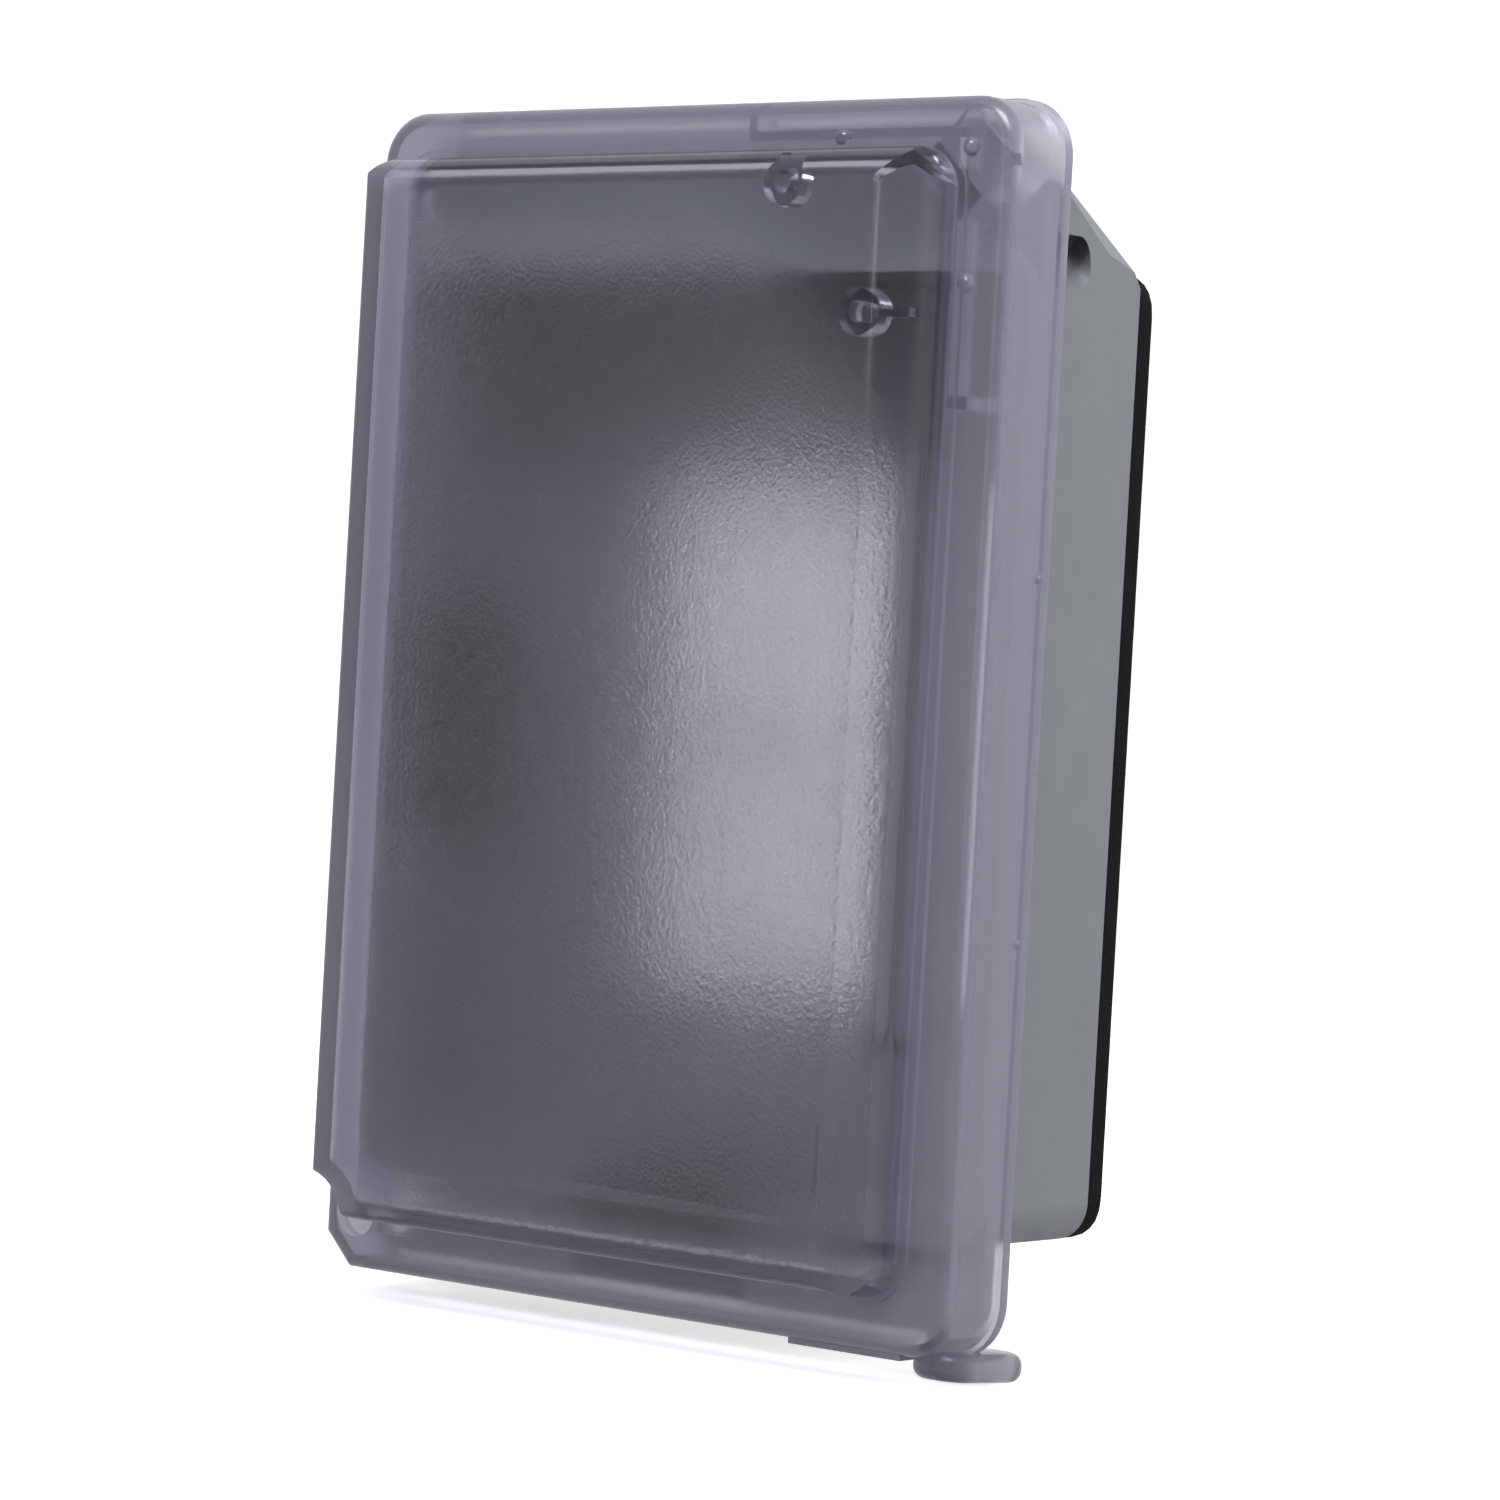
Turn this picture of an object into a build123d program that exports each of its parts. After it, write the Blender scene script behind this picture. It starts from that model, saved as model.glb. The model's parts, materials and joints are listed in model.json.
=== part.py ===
from build123d import *
import os
from math import sqrt

# Weatherproof in-use cover with a GFCI receptacle behind its lid, in millimetres.
# +X is right, +Z is up, and the wall is the plane Y = 0.  A depth is a distance in
# front of the wall, so depth = -Y.  The origin is the centre of the wall gasket's back.

# ---------------------------------------------------------------- driving dimensions
BASE_WIDTH = 97.6
BASE_HEIGHT = 120.0
BASE_CORNER = 5.0
BASE_WALL = 2.4
GASKET_THICKNESS = 3.2
BACK_WALL_FRONT = 5.4
TUB_FRONT = 27.4
FLANGE_BACK = 23.4
FLANGE_FRONT = 25.4

LID_LEFT = -51.6
LID_RIGHT = 51.6
LID_BOTTOM = -73.1
LID_TOP = 78.6
LID_CORNER = 7.2
LID_CHAMFER = 4.6
LID_BACK = 23.0
LID_FLANGE_FRONT = 34.0
LIP_LENGTH = 1.5
LIP_PROUD = 0.6
SKIRT_INSET = 2.3
LID_WALL = 2.0
FLANGE_INSET = 2.8           # how far the base's flange stays inside the lid's rim

DOME_LEFT = -46.3
DOME_RIGHT = 43.6
DOME_BOTTOM = -66.2
DOME_TOP = 71.9
DOME_FRONT = 43.0
DOME_CORNER = 6.0
NOTCH_RADIUS = 6.6
FOOT_STEP = 1.0
PADLOCK_X = -45.2
PADLOCK_Z = -64.9
PADLOCK_RADIUS = 3.4
NOTCH_X = PADLOCK_X - 0.8     # the round notch in the window's corner, over the padlock hole
NOTCH_Z = PADLOCK_Z - 0.8

HINGE_DEPTH = 16.5
HINGE_SUM = 108.2            # x + z of every point on the hinge line
HINGE_HALF = 7.8             # half the length of the hinge pin
PIN_RADIUS = 1.5
KNUCKLE_GAP = 5.0            # half the gap between the base's two knuckles
RUNNING = 0.05               # radial running clearance
PRESS_FIT = 0.02             # radial room left round the pin in the base's knuckles
POCKET_RADIUS = 2.4          # recess at each end of the pin
BEYOND = 60                  # a distance past everything, for cuts that run right through

CORNER_BOSSES = ((-36, -49), (36, -49), (-36, 49), (33, 47))
INSERT_WIDTH = 46.0
INSERT_HEIGHT = 72.0

PORT_HALF = 14.0
PORT_BACK = 6.4
CORD_RADIUS = 4.75
CORD_DEPTH = 14.0
TERMINAL_Z = (-13.0, 13.0)
HOUSING_SCREWS = ((-18.0, 30.0), (18.0, 30.0), (-18.0, -30.0), (18.0, -30.0))
GROUND_SCREW_Z = -23.4

BOX_SCREW_Z = 41.65          # half of the 83.3 mm device screw spacing
SCREW_RADIUS = 1.75
NECK_RADIUS = 1.45           # plain neck of each captive screw, inside the cover and the strap
SCREW_HOLE = 2.2

FACE_WIDTH = 33.0
FACE_HEIGHT = 66.5
FACE_FRONT = 8.6
STRAP_THICKNESS = 1.2
BODY_WIDTH = 42.0
BODY_HEIGHT = 68.0
BODY_BACK = -26.0
BLADE_X = 6.35
OUTLET_SLOTS_Z = (24.4, -13.5)
GROUND_DROP = 11.9


# ---------------------------------------------------------------- helpers
def slab(sketch, back, front):
    """Extrude an X-Z outline from one depth to another."""
    return extrude(Plane.XZ.offset(back) * sketch, amount=front - back)


def block(x0, x1, z0, z1, back, front):
    outline = Pos((x0 + x1) / 2, (z0 + z1) / 2) * Rectangle(x1 - x0, z1 - z0)
    return slab(outline, back, front)


def rod(x, z, radius, back, front):
    """Round bar whose axis runs front to back."""
    return slab(Pos(x, z) * Circle(radius), back, front)


def cross_rod(x0, x1, depth, z, radius):
    """Round bar whose axis runs left to right."""
    plane = Plane(origin=(x0, -depth, z), z_dir=(1, 0, 0))
    return extrude(plane * Circle(radius), amount=x1 - x0)


def upright_rod(x, depth, z0, z1, radius):
    """Round bar whose axis is vertical."""
    plane = Plane(origin=(x, -depth, z0), z_dir=(0, 0, 1))
    return extrude(plane * Circle(radius), amount=z1 - z0)


def rounded(width, height, radius):
    return RectangleRounded(width, height, radius)


def edges_at(part, depth):
    """All edges that lie wholly at one depth."""
    low = -depth - 0.001
    high = -depth + 0.001
    return part.edges().filter_by_position(Axis.Y, low, high)


def ring_coil(plane, mean_radius, wire, turns, pitch):
    """Spring drawn as a stack of closed rings joined by one straight back strand."""
    rings = [plane.offset(wire + pitch * k) * Torus(mean_radius, wire) for k in range(turns)]
    strand = plane * Pos(mean_radius, 0, wire) * Cylinder(
        wire * 0.8, pitch * (turns - 1), align=(Align.CENTER, Align.CENTER, Align.MIN))
    return Part() + rings + strand


# ---------------------------------------------------------------- hinge frame
HINGE_X = (BASE_WIDTH / 2 + (HINGE_SUM - 75.8)) / 2
HINGE_Z = HINGE_SUM - HINGE_X
# local x points out towards the corner, local y to the wall, local z up and left
HINGE_PLANE = Plane(origin=(HINGE_X, -HINGE_DEPTH, HINGE_Z), x_dir=(1, 0, 1), z_dir=(-1, 0, 1))


def hinge_prism(sketch, start, end):
    return extrude(HINGE_PLANE.offset(start) * sketch, amount=end - start)


def span(x0, x1, y0, y1):
    return Pos((x0 + x1) / 2, (y0 + y1) / 2) * Rectangle(x1 - x0, y1 - y0)


# ---------------------------------------------------------------- cover base
def lid_outline(inset):
    """Outline of the lid's rim, with three round corners and one cut corner."""
    left = LID_LEFT + inset
    right = LID_RIGHT - inset
    bottom = LID_BOTTOM + inset
    top = LID_TOP - inset
    cut = LID_CHAMFER - inset * (2 - sqrt(2))
    centre = Pos((left + right) / 2, (bottom + top) / 2)
    radius = LID_CORNER - inset
    plate = centre * rounded(right - left, top - bottom, radius)
    corner = span(left, left + 2 * radius, bottom, bottom + 2 * radius)
    cut_face = make_face(Polyline(
        (left, bottom + cut), (left + cut, bottom), (left, bottom), close=True))
    return plate + corner - cut_face


def port_cut():
    """Space of the left cord port, open to the front."""
    left = -BASE_WIDTH / 2
    return block(left - 3, left + BASE_WALL + 0.8, -PORT_HALF, PORT_HALF, PORT_BACK, BEYOND)


def bottom_port_cut():
    """Space of the bottom cord port, with a slot through the flange in front of it."""
    low = -BASE_HEIGHT / 2
    slot = block(-PORT_HALF, PORT_HALF, low - 0.8, low + BASE_WALL + 0.8, PORT_BACK, BEYOND)
    return slot + block(-PORT_HALF, PORT_HALF, low - 14, low + 1, FLANGE_BACK - 1, BEYOND)


def hinge_ear():
    """Thick corner that carries the pin; its outer face slants back to meet the wall."""
    reach = 18.0
    front = HINGE_DEPTH - FLANGE_FRONT
    back = HINGE_DEPTH - GASKET_THICKNESS
    profile = make_face(Polyline(
        (-8, front), (8.8, front), (1.3, 6.2), (0.1, 11.9), (-1.2, back), (-8, back),
        close=True))
    ear = hinge_prism(profile, -reach, reach)
    inside = block(0, BASE_WIDTH / 2, 0, LID_TOP - FLANGE_INSET, GASKET_THICKNESS, FLANGE_FRONT)
    return ear & inside


def hinge_cuts():
    """Slot for the lid's arm, bore for the pin, and an open pocket at each end of the pin."""
    slot = span(-3.0, 20, -30, 3.0) + Circle(4.3)
    cuts = hinge_prism(slot, -KNUCKLE_GAP, KNUCKLE_GAP)
    cuts += hinge_prism(Circle(PIN_RADIUS + PRESS_FIT), -BEYOND / 2, BEYOND / 2)
    pocket = Circle(POCKET_RADIUS) + span(-POCKET_RADIUS, POCKET_RADIUS, -4.2, 0)
    for start, end in ((HINGE_HALF + 0.1, BEYOND / 2), (-BEYOND / 2, -HINGE_HALF - 0.1)):
        cuts += hinge_prism(pocket, start, end)
    return cuts


def cover_base():
    outer = slab(rounded(BASE_WIDTH, BASE_HEIGHT, BASE_CORNER), GASKET_THICKNESS, TUB_FRONT)
    inner_width = BASE_WIDTH - 2 * BASE_WALL
    inner_height = BASE_HEIGHT - 2 * BASE_WALL
    inner = rounded(inner_width, inner_height, BASE_CORNER - BASE_WALL)
    flange = slab(lid_outline(FLANGE_INSET), FLANGE_BACK, FLANGE_FRONT)
    base = outer + flange
    base -= hinge_prism(span(-0.6, 40, -40, 40), -BEYOND, BEYOND)
    base -= slab(inner, BACK_WALL_FRONT, BEYOND)
    base += hinge_ear()
    base -= hinge_cuts()
    base -= port_cut()
    base -= bottom_port_cut()
    base -= slab(rounded(INSERT_WIDTH + 0.4, INSERT_HEIGHT + 0.4, 2.2), 0, BACK_WALL_FRONT + 1)
    for side in (-1, 1):
        z = side * BOX_SCREW_Z
        base += rod(0, z, 4.6, STRAP_THICKNESS, GASKET_THICKNESS + 0.5)
        base -= rod(0, z, SCREW_HOLE, 0, BACK_WALL_FRONT + 1)
    base += top_ribs()
    base -= rod(PADLOCK_X, PADLOCK_Z, PADLOCK_RADIUS, FLANGE_BACK - 1, FLANGE_FRONT + 1)
    for x, z in CORNER_BOSSES:
        base += rod(x, z, 4.0, BACK_WALL_FRONT - 0.2, BACK_WALL_FRONT + 0.9)
        base -= rod(x, z, 1.9, BACK_WALL_FRONT, BACK_WALL_FRONT + 2)
    return base


def top_ribs():
    """Stiffening ribs behind the flange, above the tub."""
    top = BASE_HEIGHT / 2
    thickness = 1.6
    ribs = Part()
    for x in (-42, -21, 0, 21):
        web = make_face(Polyline((top - 0.5, 10), (top - 0.5, 23.6), (top + 12, 23.6), close=True))
        plane = Plane(origin=(x - thickness / 2, 0, 0), x_dir=(0, 0, 1), z_dir=(1, 0, 0))
        ribs += extrude(plane * web, amount=thickness)
    return ribs


def wall_gasket():
    pad = slab(rounded(BASE_WIDTH, BASE_HEIGHT, BASE_CORNER), 0, GASKET_THICKNESS)
    pad -= slab(rounded(50, 76, 3), -1, GASKET_THICKNESS + 1)
    pad -= slab(rounded(26, 110, 3), -1, GASKET_THICKNESS + 1)
    return pad


def cord_seal():
    """Slit rubber block for the left port; the bottom one is the same block turned."""
    outer = -BASE_WIDTH / 2 - 1.2
    inner = -BASE_WIDTH / 2 + BASE_WALL + 1.2
    waist_out = -BASE_WIDTH / 2 - 0.1
    waist_in = -BASE_WIDTH / 2 + BASE_WALL + 0.1
    half = PORT_HALF - 0.15
    back = PORT_BACK + 0.15
    front = FLANGE_BACK - 0.8
    body = block(waist_out, waist_in, -half, half, back, TUB_FRONT)
    body += block(outer, inner, -half, half, back, front)
    body += block(outer, waist_out, -half - 1.6, half + 1.6, PORT_BACK - 1.0, front - 0.6)
    body += block(waist_in, inner, -half - 1.6, half + 1.6, BACK_WALL_FRONT + 0.1, front - 0.6)
    body -= cross_rod(outer - 1, inner + 1, CORD_DEPTH, 0, CORD_RADIUS)
    body -= block(outer - 1, inner + 1, -0.5, 0.5, CORD_DEPTH, 40)
    for z in (-9.2, 9.2):
        body -= block(outer - 1, outer + 0.5, z - 0.4, z + 0.4, 8, front - 2)
    return body


def left_cord_seal():
    return cord_seal()


def bottom_cord_seal():
    """The same block turned, with a cap that fills the slot in the base's flange."""
    turned = Rot(0, -90, 0) * cord_seal()
    seal = Pos(0, 0, -BASE_HEIGHT / 2 + BASE_WIDTH / 2) * turned
    half = PORT_HALF - 0.15
    wall_face = -BASE_HEIGHT / 2 + 0.1
    cap = block(-half, half, LID_BOTTOM + FLANGE_INSET + 0.1, wall_face, FLANGE_BACK, FLANGE_FRONT)
    return seal + cap - block(-0.5, 0.5, LID_BOTTOM, wall_face, FLANGE_BACK - 1, FLANGE_FRONT + 1)


def insert_plate():
    """Adapter that closes the base around a rectangular receptacle face."""
    plug = slab(rounded(INSERT_WIDTH, INSERT_HEIGHT, 2.0), GASKET_THICKNESS + 0.1, BACK_WALL_FRONT)
    rim = slab(rounded(INSERT_WIDTH + 5.0, INSERT_HEIGHT + 3.4, 3.0), BACK_WALL_FRONT, BACK_WALL_FRONT + 1.4)
    rim = fillet(edges_at(rim, BACK_WALL_FRONT + 1.4), 0.6)
    opening = slab(rounded(FACE_WIDTH + 0.5, FACE_HEIGHT + 0.5, 1.6), 0, 12)
    return plug + rim - opening


def box_screws():
    screws = Part()
    for side in (-1, 1):
        z = side * BOX_SCREW_Z
        head = rod(0, z, 3.4, BACK_WALL_FRONT, BACK_WALL_FRONT + 2.2)
        head = fillet(edges_at(head, BACK_WALL_FRONT + 2.2), 1.0)
        screw = head + rod(0, z, NECK_RADIUS, 0, BACK_WALL_FRONT)
        screw += rod(0, z, SCREW_RADIUS, -14, 0)
        slot = block(-4, 4, z - 0.5, z + 0.5, BACK_WALL_FRONT + 1.1, BACK_WALL_FRONT + 4)
        screws += screw - slot
    return screws


# ---------------------------------------------------------------- lid
def dome_outline(inset):
    """Outline of the window's walls, square at the notched lower left corner."""
    left = DOME_LEFT + inset
    right = DOME_RIGHT - inset
    bottom = DOME_BOTTOM + inset
    top = DOME_TOP - inset
    centre = Pos((left + right) / 2, (bottom + top) / 2)
    plan = centre * rounded(right - left, top - bottom, DOME_CORNER - inset)
    return plan + span(left, left + 9, bottom, bottom + 9)


def dome_solid(inset, back, front):
    """Raised window of the lid: a plan outline trimmed by two rounded side profiles."""
    left = DOME_LEFT + inset
    right = DOME_RIGHT - inset
    bottom = DOME_BOTTOM + inset
    top = DOME_TOP - inset
    body = slab(dome_outline(inset), back, front)
    body -= rod(NOTCH_X, NOTCH_Z, NOTCH_RADIUS + inset, 0, BEYOND)
    body &= side_profile(left, right, 1.0, 0.7, 1.2, 7.0 - inset, back, front, Plane.XY)
    body &= side_profile(bottom, top, 1.6, 1.0, 1.2, 4.4 - inset, back, front, Plane.YZ)
    return body


def side_profile(low, high, low_lean, high_lean, low_round, high_round, back, front, plane):
    """Cross-section with leaning sides and rounded front corners, extruded both ways."""
    along = Axis.X if plane == Plane.XY else Axis.Y
    across = Axis.Y if plane == Plane.XY else Axis.X
    points = [(low, -back), (high, -back), (high - high_lean, -front), (low + low_lean, -front)]
    if plane == Plane.YZ:
        points = [(second, first) for first, second in points]
    face = make_face(Polyline(*points, close=True))
    for end, radius in ((0, low_round), (-1, high_round)):
        corners = face.vertices().filter_by_position(across, -front - 0.001, -front + 0.001)
        face = fillet([corners.sort_by(along)[end]], radius)
    return extrude(plane * face, amount=BEYOND * 3, both=True)


def lid_shell():
    lip = slab(lid_outline(0), LID_BACK, LID_BACK + LIP_LENGTH)
    skirt = slab(lid_outline(LIP_PROUD), LID_BACK, LID_FLANGE_FRONT)
    skirt = fillet(edges_at(skirt, LID_FLANGE_FRONT), 1.9)
    shell = skirt + lip
    shell += dome_solid(0, LID_FLANGE_FRONT - 1.0, DOME_FRONT)
    shell -= slab(lid_outline(SKIRT_INSET), LID_BACK - 1, LID_FLANGE_FRONT - LID_WALL)
    shell -= dome_solid(LID_WALL, LID_FLANGE_FRONT - LID_WALL - 1, DOME_FRONT - LID_WALL)
    return shell


def corner_wall():
    """L-shaped splash wall inside the hinge corner, with a short tie at each end."""
    back = 28.0
    front = LID_FLANGE_FRONT - LID_WALL + 0.5
    right = 42.4
    top = 74.4
    left_end = 9.6
    low_end = 40.6
    wall = block(left_end, right, top - 1.2, top, back, front)
    wall += block(right - 1.2, right, low_end, top, back, front)
    wall += block(left_end, left_end + 1.2, top, 76.8, back, front)
    wall += block(right, 45.1, low_end, low_end + 1.6, back, front)
    return wall


def ring_posts():
    """Two short hollow posts behind the window near the hinge corner, each with a rib."""
    front = DOME_FRONT - LID_WALL + 0.3
    length = 2.8
    posts = Part()
    for x, z in ((22.4, 67.0), (34.9, 51.5)):
        posts += rod(x, z, 2.9, front - length, front)
        posts -= rod(x, z, 1.3, 0, front - 0.3)
    posts += block(37.4, 42.4, 50.9, 52.1, front - length, front)
    posts += block(21.8, 23.0, 69.4, 70.6, front - length, front)
    return posts


def lid_knuckle():
    """Hinge arm of the lid, from the back of its corner to the hinge pin."""
    plate_back = HINGE_DEPTH - LID_FLANGE_FRONT + LID_WALL
    arm = span(-1.8, 1.8, plate_back - 0.5, 0) + Circle(3.6)
    foot = make_face(Polyline(
        (-1.8, plate_back - 0.8), (-1.8, plate_back + 2.2), (1.8, plate_back + 2.2),
        (8.6, plate_back + 0.8), (8.6, plate_back - 0.8), close=True))
    half = KNUCKLE_GAP - 0.3
    return hinge_prism(arm, -half, half) + hinge_prism(foot, -half, half)


def window_panel():
    """Raised frosted panel; its face leans so that it dies out to the right and at the top."""
    foot = Plane.XZ.offset(DOME_FRONT - 0.4) * Pos(-0.2, 3.7) * rounded(75.4, 125.6, 6.4)
    crest = Plane.XZ.offset(DOME_FRONT + 0.9) * Pos(0.3, 5.5) * rounded(71.6, 120.2, 4.0)
    panel = loft([foot, crest])
    low_left = Vector(-36, -DOME_FRONT - 0.8, -55)
    low_right = Vector(36, -DOME_FRONT - 0.3, -55)
    top_left = Vector(-36, -DOME_FRONT - 0.15, 66)
    forward = (low_right - low_left).cross(top_left - low_left)
    behind = extrude(Plane(origin=low_left, z_dir=-forward) * Rectangle(400, 400), amount=20)
    return panel & behind


def dome_foot():
    """Small step where the window's walls meet the flange."""
    step = dome_outline(-FOOT_STEP)
    ring = slab(step, LID_FLANGE_FRONT - 1.0, LID_FLANGE_FRONT + 0.7)
    ring -= rod(NOTCH_X, NOTCH_Z, NOTCH_RADIUS - FOOT_STEP, 0, BEYOND)
    inner = slab(dome_outline(LID_WALL), LID_FLANGE_FRONT - LID_WALL - 2, DOME_FRONT)
    return ring - inner


def finger_tab():
    """Rounded tab below the lid's lower right corner, with a low pad beside it."""
    thickness = 3.6
    tab = extrude(rounded(8.6, 15.6, 3.8), amount=thickness)
    tab = fillet(tab.edges(), 1.5)
    tab = Pos(45.9, -22.6, LID_BOTTOM - 2.7) * Rot(-4, 0, 0) * tab
    pad = block(26.0, 43.0, LID_BOTTOM - 0.1, LID_BOTTOM + 1.2, 25.0, 32.4)
    return tab + pad


def lid():
    part = lid_shell()
    part += corner_wall()
    part += ring_posts()
    part += lid_knuckle()
    part += window_panel()
    part += dome_foot()
    part += finger_tab()
    part -= hinge_prism(Circle(PIN_RADIUS + RUNNING), -KNUCKLE_GAP - 1, KNUCKLE_GAP + 1)
    part -= rod(PADLOCK_X, PADLOCK_Z, PADLOCK_RADIUS, 30, 36)
    for x, z in ((44.7, 71.7), (25.5, 73.1), (45.0, 55.5)):
        part += Pos(x, -LID_FLANGE_FRONT, z) * Sphere(1.15)
    for z in (21.0, -22.7):
        part += Pos(LID_RIGHT - 0.35, -LID_BACK - LIP_LENGTH, z) * Sphere(0.6)
    return part


def hinge_pin():
    return hinge_prism(Circle(PIN_RADIUS), -HINGE_HALF, HINGE_HALF)


# ---------------------------------------------------------------- receptacle shells
def mounting_strap():
    strap = block(-20.5, 20.5, -33.4, 33.4, 0, STRAP_THICKNESS)
    strap += slab(rounded(20.0, 106.0, 3.0), 0, STRAP_THICKNESS)
    for side in (-1, 1):
        strap -= rod(0, side * BOX_SCREW_Z, SCREW_HOLE, -1, 3)
        strap -= rod(0, side * 48.4, 1.5, -1, 3)
    strap -= block(-14.6, 14.6, -30.5, 30.5, -1, 3)
    return strap


def face_housing():
    flange = block(-20.5, 20.5, -33.4, 33.4, STRAP_THICKNESS, 2.6)
    bezel = slab(rounded(FACE_WIDTH, FACE_HEIGHT, 1.4), STRAP_THICKNESS, FACE_FRONT)
    bezel = fillet(edges_at(bezel, FACE_FRONT), 0.7)
    shell = flange + bezel
    shell -= block(-14.6, 14.6, -31.0, 31.0, 0, FACE_FRONT - 1.6)
    for z in OUTLET_SLOTS_Z:
        shell -= block(-BLADE_X - 1.15, -BLADE_X + 1.15, z - 4.5, z + 4.5, 5, 10)
        shell -= block(BLADE_X - 1.15, BLADE_X + 1.15, z - 3.7, z + 3.7, 5, 10)
        shell -= ground_hole(z - GROUND_DROP, 2.75, 5, 10)
    shell -= block(-8.1, 8.1, 0.35, 6.15, 5, 10)
    shell -= block(-8.1, 8.1, -6.15, -0.35, 5, 10)
    shell -= rod(12.2, 0, 1.35, 5, 10)
    return shell


def ground_hole(z, radius, back, front):
    round_part = rod(0, z, radius, back, front)
    return round_part + block(-radius, radius, z, z + radius - 0.6, back, front)


def body_housing():
    body = slab(rounded(BODY_WIDTH, BODY_HEIGHT, 2.0), BODY_BACK, 0)
    body = fillet(edges_at(body, BODY_BACK), 1.2)
    body -= block(-15.0, 15.0, -32.0, 32.0, BODY_BACK + 1.6, 1)
    for side in (-1, 1):
        for z in TERMINAL_Z:
            x_out = side * 23.0
            x_in = side * 16.6
            body -= block(min(x_in, x_out), max(x_in, x_out), z - 5.6, z + 5.6, -16.0, -4.0)
            slot_in = side * 14.0
            body -= block(min(slot_in, x_in), max(slot_in, x_in), z - 3.1, z + 3.1, -10.7, -9.3)
    ground = GROUND_SCREW_Z
    body -= block(-24, -16.6, ground - 3.4, ground + 3.4, -14.0, -6.0)
    for x, z in HOUSING_SCREWS:
        body -= rod(x, z, 1.3, BODY_BACK - 1, 1)
        body -= rod(x, z, 2.6, BODY_BACK - 1, BODY_BACK + 2.2)
    return body


def housing_screws():
    screws = Part()
    for x, z in HOUSING_SCREWS:
        head = rod(x, z, 2.4, BODY_BACK + 0.4, BODY_BACK + 2.2)
        head -= block(x - 3, x + 3, z - 0.35, z + 0.35, BODY_BACK, BODY_BACK + 1.2)
        screws += head + rod(x, z, 1.2, BODY_BACK + 2.2, -0.2)
    return screws


# ---------------------------------------------------------------- receptacle moving parts
def button(z, seat, front):
    cap = block(-8.0, 8.0, z - 2.8, z + 2.8, seat + 1.0, front)
    cap = fillet(edges_at(cap, front), 0.5)
    flange = block(-9.2, 9.2, z - 2.85, z + 2.85, seat, seat + 1.0)
    return cap + flange


def test_button():
    """Rests with its flange against the back of the face."""
    return button(3.25, 5.9, FACE_FRONT + 1.2) + rod(-4.0, 3.25, 1.2, 0.8, 5.9)


def reset_button():
    """Latched position; it stands 1.2 mm further out when the receptacle has tripped."""
    return button(-3.25, 4.6, FACE_FRONT + 0.2) + rod(0, -3.25, 1.7, 2.0, 4.6)


def reset_pin():
    """Steel rod that hangs from the reset button and picks up the contact carrier."""
    return rod(0, -3.25, 0.9, -7.0, 2.0)


def reset_spring():
    plane = Plane(origin=(0, 3.4, -3.25), z_dir=(0, -1, 0))
    return ring_coil(plane, 2.6, 0.3, 6, 1.45)


def test_spring():
    """Bent leaf under the test button."""
    leaf = block(-9.0, 1.0, 2.2, 4.3, -0.9, -0.5)
    return leaf + block(-9.0, -8.5, 2.2, 4.3, -5.6, -0.5)


def contact_carrier():
    """Block that lifts the moving contacts when the reset button latches it."""
    body = block(-8.0, 8.0, -6.6, 0.0, -10.5, -7.0)
    body -= rod(0, -3.25, 1.1, -9.0, -6)
    return body


def moving_contacts():
    arms = Part()
    for side in (-1, 1):
        x0 = min(side * 8.0, side * 12.6)
        x1 = max(side * 8.0, side * 12.6)
        arm = block(x0, x1, -5.0, -1.6, -8.6, -8.0)
        arms += arm + rod(side * 11.2, -3.3, 1.3, -8.0, -6.45)
    return arms


def shutter(z):
    plate = block(-12.4, 10.0, z - 4.9, z + 4.9, 4.6, 5.8)
    for x in (-BLADE_X, BLADE_X):
        plate -= block(x - 3.2 - 1.35, x - 3.2 + 1.35, z - 4.6, z + 4.6, 0, 10)
    for x in (-BLADE_X, BLADE_X):
        wedge_face = make_face(Polyline((x - 1.3, -5.8), (x + 1.5, -5.8), (x + 1.5, -6.7), close=True))
        wedge = extrude(Plane.XY.offset(z - 3) * wedge_face, amount=6)
        plate += wedge
    return plate


def upper_shutter():
    return shutter(OUTLET_SLOTS_Z[0])


def lower_shutter():
    return shutter(OUTLET_SLOTS_Z[1])


def contact_divider():
    """Moulded floor between the shutters and the works, with room for the blades."""
    plate = block(-14.4, 14.4, -30.8, 30.8, 2.6, 3.8)
    for z in OUTLET_SLOTS_Z:
        for x in (-BLADE_X, BLADE_X):
            plate -= block(x - 2.0, x + 2.0, z - 4.8, z + 4.8, 0, 6)
        plate -= rod(0, z - GROUND_DROP, 3.2, 0, 6)
    plate -= block(-9.6, 9.6, -6.6, 6.6, 0, 6)
    plate -= rod(12.2, 0, 1.5, 0, 6)
    return plate


def works_frame():
    """Moulded bridge over the board that seats the reset spring and the test leaf."""
    frame = block(-11.2, 11.2, -8.0, 8.0, -4.6, -3.5)
    for x in (-10.3, 10.3):
        for z in (-7.4, 7.4):
            frame += block(x - 0.9, x + 0.9, z - 0.6, z + 0.6, -20.8, -4.6)
    frame -= rod(0, -3.25, 1.2, -6, 0)
    frame -= block(-9.3, -8.2, 1.9, 4.6, -6, 0)
    return frame


def indicator_lens():
    lens = rod(12.2, 0, 1.25, 3.0, FACE_FRONT + 0.1)
    return fillet(edges_at(lens, FACE_FRONT + 0.1), 0.4)


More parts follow.
